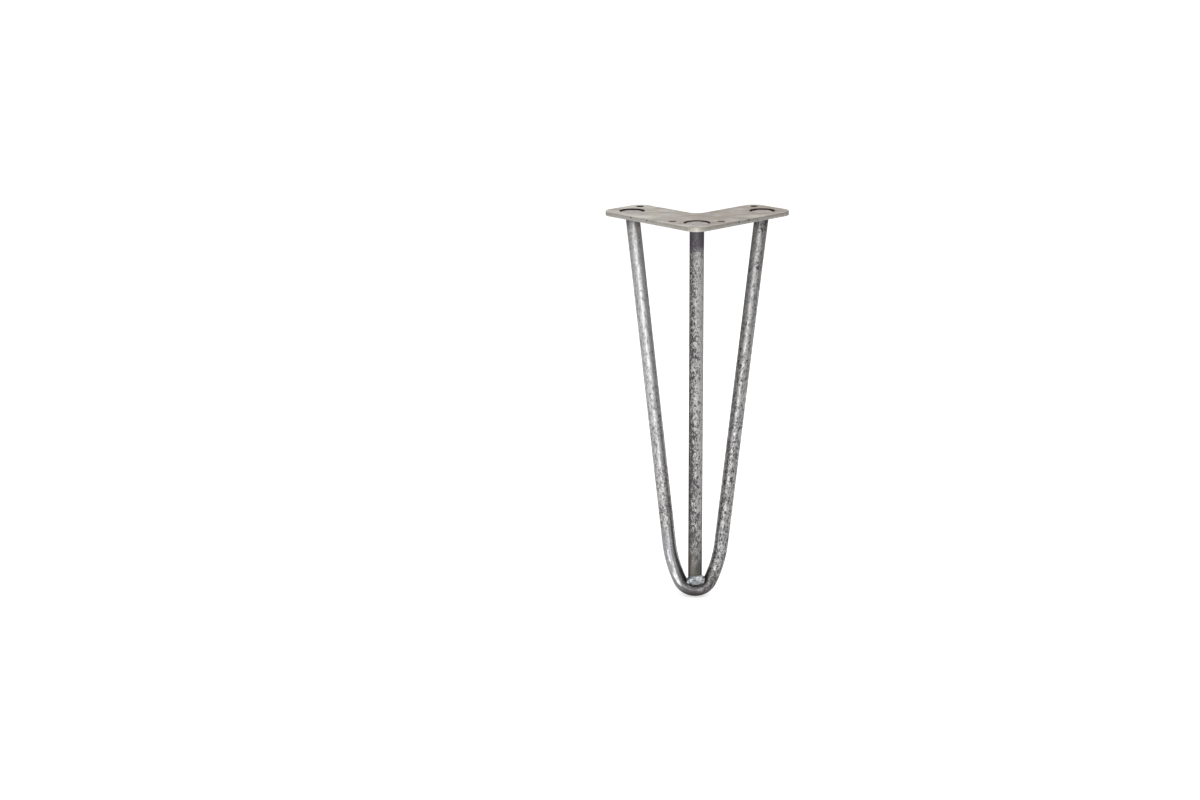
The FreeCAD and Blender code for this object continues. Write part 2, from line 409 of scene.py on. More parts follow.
def bare_sheet_steel():
    """Hot-rolled low-carbon sheet, pickled and cut, then welded and left bare.

    It gives a matt warm grey with soft stains and faint rolling lines, brown heat tint round the welds,
    dark walls where the holes were cut (oxide and painted shade), and brighter edges (sheared steel and a
    painted sheen) with small nicks.
    """
    colour = colours()
    material, tree, shader = new_material("pickled_sheet_steel")
    coordinates = add(tree, "TexCoord", {})
    position = coordinates.outputs["Object"]
    # Stains about 14 mm across and smudges of 3.5 mm, drawn out along the sheet's rolling direction
    drawn_out = add(tree, "Mapping", {"Vector": position, "Scale": (0.35, 1.0, 1.0)})
    broad = add(tree, "TexNoise", {
        "Vector": drawn_out, "Scale": 1 / (14 * MM), "Detail": 4.0, "Roughness": 0.5})
    smudges = add(tree, "TexNoise", {
        "Vector": drawn_out, "Scale": 1 / (3.5 * MM), "Detail": 2.0, "Roughness": 0.5})
    stains = add(tree, "Math", {0: smudges, 1: 0.6, 2: broad}, operation="MULTIPLY_ADD")
    # Rolling lines about 0.8 mm apart
    rolled = add(tree, "Mapping", {"Vector": position, "Scale": (0.04, 1.0, 1.0)})
    grain = add(tree, "TexNoise", {"Vector": rolled, "Scale": 1 / (0.8 * MM), "Detail": 3.0})
    metal = overlay(tree, colour.sheet_steel, [
        (handled_share(tree, position, stains, grain), colour.sheet_steel_shade),
        (heat_tint_share(tree, position), colour.heat_tint),
        # Lighter upright edges: sheared steel and a painted sheen
        (sheared_share(tree, coordinates), colour.cut_edge),
        # Dark oxide and painted shade on the hole walls
        (hole_wall_share(tree, position), colour.cut_wall),
        (nick_share(tree, position, drawn_out), colour.cut_wall),
    ])
    roughness = add(tree, "MapRange", {
        "Value": stains, "From Min": 0.5, "From Max": 1.1, "To Min": 0.38, "To Max": 0.62})
    relief = add(tree, "Math", {0: stains, 1: 1.5, 2: grain}, operation="MULTIPLY_ADD")
    bump = add(tree, "Bump", {"Height": relief, "Strength": 0.45, "Distance": 0.15 * MM})
    feed(tree, shader, {"Base Color": metal, "Roughness": roughness, "Metallic": 0.75, "Normal": bump})
    return material


def worn_share(tree, straight, mottle, on_hairpin):
    """Share of the bar where its scale has rubbed off, and of the straight bar's right side, painted lighter
    as a highlight.
    """
    # Patches about 8 mm long where more of the scale is gone
    drift = add(tree, "TexNoise", {"Vector": straight, "Scale": 1 / (8 * MM), "Detail": 2.0})
    patchy = add(tree, "Math", {0: drift, 1: 0.22, 2: mottle}, operation="MULTIPLY_ADD")
    # The straight bar's right side is painted lighter, as a highlight
    axes = add(tree, "SeparateXYZ", {0: straight})
    along = axes.outputs["Z"]
    right_side = add(tree, "MapRange", {
        "Value": axes.outputs["X"], "From Min": PATTERN_ASIDE - BAR_RADIUS,
        "From Max": PATTERN_ASIDE + BAR_RADIUS, "To Min": -0.1, "To Max": 0.13})
    rubbed = add(tree, "Math", {0: patchy, 1: right_side}, operation="ADD")
    # Its wear grows away from the foot, and so does the hairpin's on its right leg
    straight_wear = add(tree, "MapRange", {
        "Value": along, "From Min": 20 * MM, "From Max": 170 * MM, "To Min": -0.08, "To Max": 0.0})
    hairpin_wear = add(tree, "MapRange", {
        "Value": along, "From Min": 60 * MM, "From Max": 220 * MM, "To Min": 0.09, "To Max": 0.15})
    wear = add(tree, "Mix", {"Factor": on_hairpin, "A": straight_wear, "B": hairpin_wear})
    worn = add(tree, "Math", {0: wear, 1: rubbed}, operation="ADD")
    return set_stops(add(tree, "ValToRGB", {"Fac": worn}), [(0.51, 0.0), (0.71, 1.0)])


def ground_share(tree, along, mottle):
    """Share of the left leg's last 200 mm that is ground, more towards the plate, with scale in its pits."""
    ground = add(tree, "MapRange", {
        "Value": along, "From Min": -230 * MM, "From Max": -40 * MM, "To Min": 0.86, "To Max": 0.0})
    pits = add(tree, "MapRange", {
        "Value": mottle, "From Min": 0.36, "From Max": 0.48, "To Min": 0.4, "To Max": 1.0})
    return add(tree, "Math", {0: ground, 1: pits}, operation="MULTIPLY")


def heated_share(tree, place, height):
    """Share of heat tint and painted shade under the plate, over 18 mm of the straight bar and 10 mm of the
    side bars.
    """
    from_plate = add(tree, "VectorMath", {0: place, 1: CORNER_TOP}, operation="DISTANCE")
    near_plate = add(tree, "MapRange", {
        "Value": from_plate, "From Min": 15 * MM, "From Max": 21 * MM, "To Min": 0.9, "To Max": 0.0})
    # Painted shade: all bars darken just under the plate
    under_plate = add(tree, "MapRange", {
        "Value": height, "From Min": -14 * MM, "From Max": -5 * MM, "To Min": 0.0, "To Max": 0.9})
    return add(tree, "Math", {0: near_plate, 1: under_plate}, operation="MAXIMUM")


def brown_share(tree, place, height):
    """Share of brown oxide on the straight bar's last 35 mm, above the foot's weld."""
    near_weld = add(tree, "MapRange", {
        "Value": height, "From Min": WELD_HIGH.z + 4 * MM, "From Max": WELD_HIGH.z + 35 * MM,
        "To Min": 0.85, "To Max": 0.0})
    off_axis = distance_from_axis(tree, place, CORNER_TOP)
    on_straight_bar = add(tree, "Math", {0: off_axis, 1: BAR_RADIUS * 1.1}, operation="LESS_THAN")
    brown = add(tree, "Math", {0: near_weld, 1: on_straight_bar}, operation="MULTIPLY")
    above_bend = add(tree, "Math", {0: height, 1: CORNER_LOW.z - 0.5 * MM}, operation="GREATER_THAN")
    return add(tree, "Math", {0: brown, 1: above_bend}, operation="MULTIPLY")


def burnished_share(tree, along, on_hairpin):
    """Share of smooth scale on the hairpin's left flank, from 60 mm up it to the foot: burnished by the
    bending die, and lighter partly as a painted sheen.
    """
    from_die = add(tree, "Math", {0: along, 1: -30 * MM}, operation="SUBTRACT")
    from_die = add(tree, "Math", {0: from_die}, operation="ABSOLUTE")
    burnish = add(tree, "MapRange", {
        "Value": from_die, "From Min": 24 * MM, "From Max": 34 * MM, "To Min": 0.7, "To Max": 0.0})
    return add(tree, "Math", {0: burnish, 1: on_hairpin}, operation="MULTIPLY")


def soot_share(tree, place, height, on_hairpin):
    """Share of soot and painted shade on the bend: its underside, and a ring and a fainter halo round the
    foot's weld.
    """
    # Painted shade: the bend's underside is darkened as the dark reflection of the shaded floor under it
    underside = add(tree, "MapRange", {
        "Value": height, "From Min": LEG_LOW.z + 3.5 * MM, "From Max": LEG_LOW.z + 9.5 * MM,
        "To Min": 1.0, "To Max": 0.0})
    weld_middle = Vector((0.5 * MM, -8 * MM, -290 * MM))
    squash = 1.6
    squashed = add(tree, "Mapping", {
        "Vector": place, "Scale": (1.0, 1.0, squash),
        "Location": (-weld_middle.x, -weld_middle.y, -squash * weld_middle.z)})
    from_weld = add(tree, "VectorMath", {0: squashed}, operation="LENGTH")
    past_toe = add(tree, "MapRange", {"Value": from_weld, "From Min": 9.3 * MM, "From Max": 21 * MM})
    # The ring is soot and painted shade; the fainter halo is painted shade that dims the bend's reflections
    halo = set_stops(add(tree, "ValToRGB", {"Fac": past_toe}),
                     [(0.0, 0.9), (0.18, 0.5), (0.6, 0.42), (1.0, 0.0)])
    darkest = add(tree, "Math", {0: underside, 1: halo}, operation="MAXIMUM")
    return add(tree, "Math", {0: darkest, 1: on_hairpin}, operation="MULTIPLY")


def mill_scaled_bar():
    """Hot-rolled round bar with its mill scale on, bent cold and handled.

    The scale gives a dark blue-grey with a broken, worm-like mottle where it has cracked and rubbed off
    to brighter steel; the straight bar's right side is painted lighter as a highlight. The left leg is
    ground bright and its flank burnished, lighter partly as a painted sheen. The bars are purple-grey under
    the plate from the welding's heat and painted shade, brown above the foot, and sooty in the bend, with
    painted shade under the bend and round the foot's weld.
    """
    colour = colours()
    material, tree, shader = new_material("mill_scaled_round_bar")
    # The bar as it was before bending: X and Y across it, Z along it from the foot, in metres
    straight = add(tree, "Attribute", {}, attribute_name="straight_bar").outputs["Vector"]
    axes = add(tree, "SeparateXYZ", {0: straight})
    along = axes.outputs["Z"]
    on_hairpin = add(tree, "Math", {0: axes.outputs["X"], 1: PATTERN_ASIDE / 2}, operation="LESS_THAN")
    place = add(tree, "TexCoord", {}).outputs["Object"]
    height = add(tree, "SeparateXYZ", {0: place}).outputs["Z"]
    # Mottle with worm-like blotches about 1.4 mm across and 2.3 mm long
    drawn_out = add(tree, "Mapping", {"Vector": straight, "Scale": (1.0, 1.0, 0.6)})
    mottle = add(tree, "TexNoise", {
        "Vector": drawn_out, "Scale": 1 / (1.4 * MM), "Detail": 3.0, "Roughness": 0.6, "Distortion": 1.0})
    # Grinding marks about 1 mm wide and 8 mm long
    lengthwise = add(tree, "Mapping", {"Vector": straight, "Scale": (1.0, 1.0, 0.12)})
    grinding = add(tree, "TexNoise", {
        "Vector": lengthwise, "Scale": 1 / (1.0 * MM), "Detail": 4.0, "Roughness": 0.7})
    marks = set_stops(add(tree, "ValToRGB", {"Fac": grinding}), [(0.4, 0.0), (0.6, 1.0)])
    ground_steel = overlay(tree, colour.ground_mark, [(marks, colour.ground_steel)])
    # The burnished flank's scale is painted darker from 14 mm before the foot, as shade and a dark
    # reflection round the bend
    near_foot = add(tree, "MapRange", {
        "Value": along, "From Min": -14 * MM, "From Max": -2 * MM, "To Min": 0.0, "To Max": 1.0})
    smooth_scale = overlay(tree, colour.burnished_scale, [(near_foot, colour.bend_scale)])
    worn = worn_share(tree, straight, mottle, on_hairpin)
    burnished = burnished_share(tree, along, on_hairpin)
    metal = overlay(tree, colour.scale_dark, [
        # Rubbed-off scale, and a painted highlight on the straight bar's right side
        (worn, colour.scale_light),
        (ground_share(tree, along, mottle), ground_steel),
        # Heat tint and painted shade under the plate
        (heated_share(tree, place, height), colour.heated_scale),
        (brown_share(tree, place, height), colour.brown_oxide),
        # Burnished flank, lighter partly as a painted sheen
        (burnished, smooth_scale),
        # Soot and painted shade on the bend
        (soot_share(tree, place, height, on_hairpin), colour.weld_soot),
    ])
    # The straight bar never met the die, so its scale is rougher than the hairpin's
    roughness = add(tree, "MapRange", {"Value": worn, "To Min": 0.6, "To Max": 0.5})
    roughness = add(tree, "Math", {0: on_hairpin, 1: -0.18, 2: roughness}, operation="MULTIPLY_ADD")
    roughness = add(tree, "Math", {0: burnished, 1: -0.32, 2: roughness}, operation="MULTIPLY_ADD")
    bump = add(tree, "Bump", {"Height": mottle, "Strength": 0.5, "Distance": 0.1 * MM})
    feed(tree, shader, {
        "Base Color": metal, "Roughness": roughness, "Metallic": 0.85,
        "Specular Tint": (0.7, 0.7, 0.7, 1.0), "Normal": bump})
    return material


def weld_metal(name, bright, crest, roughness, ripple, soot, last_pass, run):
    """Mild steel weld metal as the torch left it, brushed over once.

    It gives a bright grey with fine torch ripples, whiter crests and dark oxide in the hollows. The run
    makes the node that the ripples follow. The ripple and the soot are the strengths of those marks, and
    the metal right of the given X is painted whiter, as a highlight.
    """
    material, tree, shader = new_material(name)
    position = add(tree, "TexCoord", {}).outputs["Object"]
    # Small lumps about 2 mm wide and 1 mm high
    flattened = add(tree, "Mapping", {"Vector": position, "Scale": (0.6, 0.8, 1.4)})
    lumps = add(tree, "TexNoise", {
        "Vector": flattened, "Scale": 1 / (1.5 * MM), "Detail": 3.0, "Roughness": 0.6, "Distortion": 0.5})
    # Torch ripples 1.6 mm apart, along the run of the weld
    phase = add(tree, "Math", {0: run(tree, position), 1: math.tau / (1.6 * MM)}, operation="MULTIPLY")
    shaken = add(tree, "Math", {0: lumps, 1: 5.0, 2: phase}, operation="MULTIPLY_ADD")
    ripples = add(tree, "Math", {0: shaken}, operation="SINE")
    relief = add(tree, "Math", {0: ripples, 1: ripple, 2: lumps}, operation="MULTIPLY_ADD")
    hollows = set_stops(add(tree, "ValToRGB", {"Fac": relief}), [(0.34, soot), (0.58, 0.0)])
    # Crests about 4 mm apart stay whiter
    crests = add(tree, "TexNoise", {"Vector": position, "Scale": 1 / (4 * MM), "Detail": 2.0})
    crests = set_stops(add(tree, "ValToRGB", {"Fac": crests}), [(0.45, 0.0), (0.6, 0.7)])
    across = add(tree, "SeparateXYZ", {0: position}).outputs["X"]
    # Painted highlight: the metal right of the given X is whiter
    fresh = add(tree, "MapRange", {
        "Value": across, "From Min": last_pass - 1.5 * MM, "From Max": last_pass + 1.5 * MM,
        "To Min": -0.15, "To Max": 0.5})
    whiter = add(tree, "Math", {0: crests, 1: fresh}, operation="ADD", use_clamp=True)
    metal = overlay(tree, bright, [(whiter, crest), (hollows, colours().weld_soot)])
    bump = add(tree, "Bump", {"Height": relief, "Strength": 0.7, "Distance": 0.35 * MM})
    feed(tree, shader, {"Base Color": metal, "Metallic": 0.8, "Roughness": roughness, "Normal": bump})
    return material


# Pieces

def finish_piece(form, name, node, material, smooth_angle=None):
    """Makes an object of a bmesh, in place of a CAD node, and gives it its finish."""
    bmesh.ops.recalc_face_normals(form, faces=form.faces)
    mesh = bpy.data.meshes.new(name)
    form.to_mesh(mesh)
    form.free()
    piece = bpy.data.objects.new(name, mesh)
    bpy.context.scene.collection.objects.link(piece)
    mesh.materials.append(material)
    mesh.shade_smooth()
    if smooth_angle is not None:
        mesh.set_sharp_from_angle(angle=smooth_angle)
    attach(piece, "root")
    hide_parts(node)
    return piece


def applied(piece):
    """Applies a piece's modifiers to its mesh."""
    graph = bpy.context.evaluated_depsgraph_get()
    mesh = bpy.data.meshes.new_from_object(piece.evaluated_get(graph))
    piece.modifiers.clear()
    piece.data = mesh
    return mesh


def upright_edges(form, places):
    """The plate's upright edges that stand at one of the places in plan."""
    return [
        edge for edge in form.edges
        if abs(edge.verts[0].co.z - edge.verts[1].co.z) > MM
        and any((edge.verts[0].co.xy - place.xy).length < MM for place in places)
    ]


class HAIRPINLEG_OT_top_plate(bpy.types.Operator):
    """Builds the L-shaped plate with its rounded corners, weld holes and screw holes"""
    bl_idname = "hairpinleg.top_plate"
    bl_label = "Top Plate"

    def execute(self, context):
        size = sizes()
        length, width = size.arm_length, size.arm_width
        thickness = PLATE_HIGH.z - PLATE_LOW.z
        corners = [plan_point(along, across) for along, across in (
            (0, 0), (length, 0), (length, width), (width, width), (width, length), (0, length))]
        crook = corners[3]
        form = bmesh.new()
        top = form.faces.new([form.verts.new(corner) for corner in corners])
        body = bmesh.ops.extrude_face_region(form, geom=[top])
        low = [part for part in body["geom"] if isinstance(part, bmesh.types.BMVert)]
        bmesh.ops.translate(form, verts=low, vec=(0, 0, -thickness))
        for places, radius, segments in (([crook], size.inner_corner_radius, 12),
                                         (corners, size.outer_corner_radius, 16)):
            bmesh.ops.bevel(form, geom=upright_edges(form, places), offset=radius, offset_type="OFFSET",
                            segments=segments, profile=0.5, affect="EDGES", material=-1)
        plate = finish_piece(form, "plate_sheet", "top_plate", bare_sheet_steel())

        drill = self.drill(context, 4 * thickness)
        cut = plate.modifiers.new("Holes", "BOOLEAN")
        cut.operation = "DIFFERENCE"
        cut.solver = "EXACT"
        cut.object = drill
        worn = plate.modifiers.new("Worn edges", "BEVEL")
        worn.width = size.edge_round
        worn.segments = 3
        worn.limit_method = "ANGLE"
        worn.angle_limit = math.radians(40)
        # The large flat faces keep their shading flat
        even = plate.modifiers.new("Even shading", "WEIGHTED_NORMAL")
        even.weight = 100
        mesh = applied(plate)
        bpy.data.objects.remove(drill)
        if not mesh.polygons:
            raise RuntimeError("the plate came out empty")
        return {"FINISHED"}

    @staticmethod
    def drill(context, depth):
        """One object with a cylinder for each hole."""
        size = sizes()
        form = bmesh.new()
        for centres, radius in ((weld_hole_centres(), size.weld_hole_radius),
                                (screw_hole_centres(), size.screw_hole_radius)):
            for centre in centres:
                bmesh.ops.create_cone(form, cap_ends=True, segments=96, radius1=radius, radius2=radius,
                                      depth=depth, matrix=Matrix.Translation(centre))
        mesh = bpy.data.meshes.new("drills")
        form.to_mesh(mesh)
        form.free()
        drill = bpy.data.objects.new("drills", mesh)
        context.scene.collection.objects.link(drill)
        return drill


def hairpin_path():
    """Centre line of the hairpin's right half: a tight turn at the foot, a slow flank and a straight leg.

    It lies in the hairpin's own plane, with its foot at the origin and Y up the legs, and its place is the
    matrix from there to the frame.
    """
    size = sizes()
    turn = size.tight_half_turn
    arm_hole = weld_hole_centres()[1]
    foot_height = LEG_LOW.z + BAR_RADIUS
    rise = PLATE_LOW.z / 2 - foot_height
    lean = arm_hole.y - CORNER_AXIS_Y
    tilt = Matrix.Rotation(math.atan2(rise, lean), 4, "X")
    tight_centre = Vector((0, size.bend_radius, 0))
    outward = Vector((math.sin(turn), -math.cos(turn), 0))
    flank_centre = tight_centre + outward * (size.bend_radius - size.flank_radius)
    leg_end = Vector((arm_hole.x, math.hypot(rise, lean), 0))
    to_end = leg_end - flank_centre
    leg_angle = math.atan2(to_end.y, to_end.x) - math.acos(size.flank_radius / to_end.length)
    leg_start = flank_centre + Vector((math.cos(leg_angle), math.sin(leg_angle), 0)) * size.flank_radius
    return HairpinPath(
        place=Matrix.Translation((0, CORNER_AXIS_Y, foot_height)) @ tilt,
        tight_centre=tight_centre,
        flank_centre=flank_centre,
        flank_turn=leg_angle - (turn - math.pi / 2),
        leg_start=leg_start,
        leg_direction=Vector((-math.sin(leg_angle), math.cos(leg_angle), 0)),
        leg_length=(leg_end - leg_start).length,
    )


def straighten(point, path):
    """Where a point of the hairpin lay on the straight bar: across, across, and along from the foot."""
    size = sizes()
    turn = size.tight_half_turn
    local = path.place.inverted() @ point
    side = 1 if local.x >= 0 else -1
    flat = Vector((abs(local.x), local.y, 0))
    from_tight = flat - path.tight_centre
    angle = Vector((0, -1, 0)).angle(from_tight) if from_tight.length > 0 else 0
    tight_length = size.bend_radius * turn
    past_flank = (flat - path.leg_start).dot(path.leg_direction)
    if past_flank > 0:
        along = tight_length + size.flank_radius * path.flank_turn + past_flank
        outward = Vector((path.leg_direction.y, -path.leg_direction.x, 0))
        across = (flat - path.leg_start).dot(outward)
    elif angle <= turn and local.y < path.tight_centre.y:
        along = size.bend_radius * angle
        across = from_tight.length - size.bend_radius
    else:
        from_flank = flat - path.flank_centre
        turned = math.atan2(from_flank.y, from_flank.x) - (turn - math.pi / 2)
        along = tight_length + size.flank_radius * turned
        across = from_flank.length - size.flank_radius
    return Vector((side * across, local.z, side * along))


def draw_out(form, ring, step):
    """Extrudes a ring of bar by one step after another, so that the pattern's places are kept on the way."""
    edges = [part for part in ring if isinstance(part, bmesh.types.BMEdge)]
    for _ in range(DRAWN_STEPS):
        drawn = bmesh.ops.extrude_edge_only(form, edges=edges)["geom"]
        fresh = [part for part in drawn if isinstance(part, bmesh.types.BMVert)]
        bmesh.ops.translate(form, verts=fresh, vec=step)
        edges = [part for part in drawn if isinstance(part, bmesh.types.BMEdge)
                 and all(end in fresh for end in part.verts)]


class HAIRPINLEG_OT_bars(bpy.types.Operator):
    """Sweeps the bent bar and stands the straight bar in its bend"""
    bl_idname = "hairpinleg.bars"
    bl_label = "Bars"

    def execute(self, context):
        metal = mill_scaled_bar()
        self.bent_bar(metal)
        self.straight_bar(metal)
        return {"FINISHED"}

    def bent_bar(self, metal):
        """A circle at the foot, spun through the tight turn and the flank, drawn straight and mirrored."""
        size = sizes()
        path = hairpin_path()
        form = bmesh.new()
        bmesh.ops.create_circle(form, cap_ends=False, segments=size.bar_sides, radius=BAR_RADIUS,
                                matrix=Matrix.Rotation(math.pi / 2, 4, "Y"))
        ring = form.verts[:] + form.edges[:]
        for centre, turn, steps in ((path.tight_centre, size.tight_half_turn, 22),
                                    (path.flank_centre, path.flank_turn, 20)):
            ring = bmesh.ops.spin(form, geom=ring, cent=centre, axis=(0, 0, 1), dvec=(0, 0, 0), angle=turn,
                                  steps=steps, use_merge=False, use_duplicate=False)["geom_last"]
        # The leg runs 8 mm past its end, and is cut level below
        draw_out(form, ring, path.leg_direction * (path.leg_length + 8 * MM) / DRAWN_STEPS)
        bmesh.ops.mirror(form, geom=form.verts[:] + form.edges[:] + form.faces[:],
                         matrix=Matrix.Identity(4), merge_dist=0.001 * MM, axis="X")
        bmesh.ops.remove_doubles(form, verts=form.verts, dist=0.005 * MM)
        bmesh.ops.transform(form, matrix=path.place, verts=form.verts)
        bmesh.ops.bisect_plane(form, geom=form.verts[:] + form.edges[:] + form.faces[:], dist=0.0001 * MM,
                               plane_co=(0, 0, -size.bar_end_recess), plane_no=(0, 0, 1), clear_outer=True)
        self.finish_bar(form, "bent_bar", "hairpin_bar", metal, lambda point: straighten(point, path))

    def straight_bar(self, metal):
        """A circle at the foot, drawn up to the plate."""
        low, high = CORNER_LOW.z, CORNER_HIGH.z
        form = bmesh.new()
        bmesh.ops.create_circle(form, cap_ends=False, segments=sizes().bar_sides, radius=BAR_RADIUS,
                                matrix=Matrix.Translation((0, CORNER_AXIS_Y, low)))
        draw_out(form, form.edges[:], (0, 0, (high - low) / DRAWN_STEPS))
        self.finish_bar(form, "straight_bar", "corner_bar", metal, lambda point: Vector(
            (point.x + PATTERN_ASIDE, point.y - CORNER_AXIS_Y, point.z - low)))

    @staticmethod
    def finish_bar(form, name, node, metal, straight_place):
        """Closes a bar's ends, and keeps each vertex's place on the straight bar for the scale's pattern."""
        bmesh.ops.holes_fill(form, edges=[edge for edge in form.edges if edge.is_boundary], sides=0)
        layer = form.verts.layers.float_vector.new("straight_bar")
        for vert in form.verts:
            vert[layer] = straight_place(vert.co)
        finish_piece(form, name, node, metal, math.radians(40))


class HAIRPINLEG_OT_plug_welds(bpy.types.Operator):
    """Fills the three weld holes round the bars' ends"""
    bl_idname = "hairpinleg.plug_welds"
    bl_label = "Plug Welds"

    def execute(self, context):
        # A plug's run is a spiral, so its ripples are rings, and its painted highlight lies out of reach
        metal = weld_metal(
            "as_welded_plug", colours().plug_bright, colours().plug_crest, roughness=0.5, ripple=0.06,
            soot=0.5, last_pass=1.0, run=from_weld_holes)
        corner, right, left = weld_hole_centres()
        for name, node, centre, nugget, drop in (
            ("corner_plug", "corner_plate_weld", corner, 8.4 * MM, 0.55 * MM),
            ("right_plug", "right_plate_weld", right, 8.0 * MM, 0.8 * MM),
            ("left_plug", "left_plate_weld", left, 8.0 * MM, 0.8 * MM),
        ):
            self.plug(name, node, centre, nugget, drop, metal)
        return {"FINISHED"}

    @staticmethod
    def plug(name, node, centre, nugget, drop, metal):
        """Turns a plug about its hole's axis, then gives its face low waves and a groove at the back.

        The nugget is the radius of its face, and the drop is how far that lies below the plate's.
        """
        wall = sizes().weld_hole_radius
        rim = nugget + 0.35 * (wall - nugget)
        groove = 0.6 * MM
        profile = [
            (0, -drop), (nugget * 0.35, -drop), (nugget * 0.65, -drop - 0.04 * MM),
            (nugget * 0.88, -drop - 0.08 * MM), (nugget, -drop - 0.16 * MM), (rim, -drop - 0.3 * MM),
            (wall - 0.3 * MM, -drop - 0.3 * MM), (wall, -drop - 0.25 * MM),
            (wall, PLATE_LOW.z), (0, PLATE_LOW.z),
        ]
        form = bmesh.new()
        points = [form.verts.new((radius, 0, height)) for radius, height in profile]
        lines = [form.edges.new(pair) for pair in zip(points, points[1:])]
        bmesh.ops.spin(form, geom=points + lines, cent=(0, 0, 0), axis=(0, 0, 1), dvec=(0, 0, 0),
                       angle=2 * math.pi, steps=72, use_merge=True, use_duplicate=False)
        bmesh.ops.remove_doubles(form, verts=form.verts, dist=0.01 * MM)
        for vert in form.verts:
            if vert.co.z < PLATE_LOW.z + 0.1 * MM:
                continue
            radius = vert.co.xy.length
            wave = noise.fractal((vert.co + centre) / (3.2 * MM), 1.0, 2.0, 3)
            to_back = 0.5 + 0.5 * vert.co.y / max(radius, MM)
            in_groove = min(max((radius - nugget) / (rim - nugget), 0), 1)
            vert.co.z += 0.15 * MM * wave - groove * in_groove * to_back
            vert.co.z = min(vert.co.z, -0.3 * MM)
        bmesh.ops.transform(form, matrix=Matrix.Translation((centre.x, centre.y, 0)), verts=form.verts)
        finish_piece(form, name, node, metal, math.radians(60))


class HAIRPINLEG_OT_foot_weld(bpy.types.Operator):
    """Lays the lumpy bead that joins the straight bar to the bend"""
    bl_idname = "hairpinleg.foot_weld"
    bl_label = "Foot Weld"

    def execute(self, context):
        form = bmesh.new()
        # Middle and half-widths of each lump, in millimetres
        lumps = (
            ((0.3, -5.0, -291.6), (7.0, 6.2, 4.0)),
            ((-0.6, -9.0, -289.6), (4.8, 2.6, 4.8)),
            ((5.2, -8.7, -289.4), (3.1, 2.7, 3.7)),
            ((-4.8, -7.6, -291.0), (2.2, 2.2, 3.3)),
            ((1.6, -9.1, -287.6), (4.6, 2.1, 2.4)),
            ((0.4, -1.2, -290.2), (5.6, 3.0, 4.2)),
        )
        for middle, halves in lumps:
            bmesh.ops.create_uvsphere(
                form, u_segments=40, v_segments=24, radius=MM,
                matrix=Matrix.Translation(Vector(middle) * MM) @ Matrix.Diagonal((*halves, 1.0)))
        metal = weld_metal(
            "as_welded_bead", colours().weld_bright, colours().weld_crest, roughness=0.3, ripple=0.07,
            soot=0.85, last_pass=3 * MM, run=self.up_the_bead)
        piece = finish_piece(form, "crotch_bead", "foot_weld", metal)
        flow = piece.modifiers.new("One bead", "REMESH")
        flow.mode = "VOXEL"
        flow.voxel_size = 0.3 * MM
        soften = piece.modifiers.new("Soft joins", "SMOOTH")
        soften.factor = 0.5
        soften.iterations = 6
        mesh = applied(piece)
        for vert in mesh.vertices:
            wave = noise.fractal(vert.co / (2.0 * MM), 1.0, 2.0, 3)
            vert.co += vert.normal * wave * 0.12 * MM
        mesh.shade_smooth()
        return {"FINISHED"}

    @staticmethod
    def up_the_bead(tree, position):
        """Output socket with the height: the bead's run climbs from the bend."""
        return add(tree, "SeparateXYZ", {0: position}).outputs["Z"]


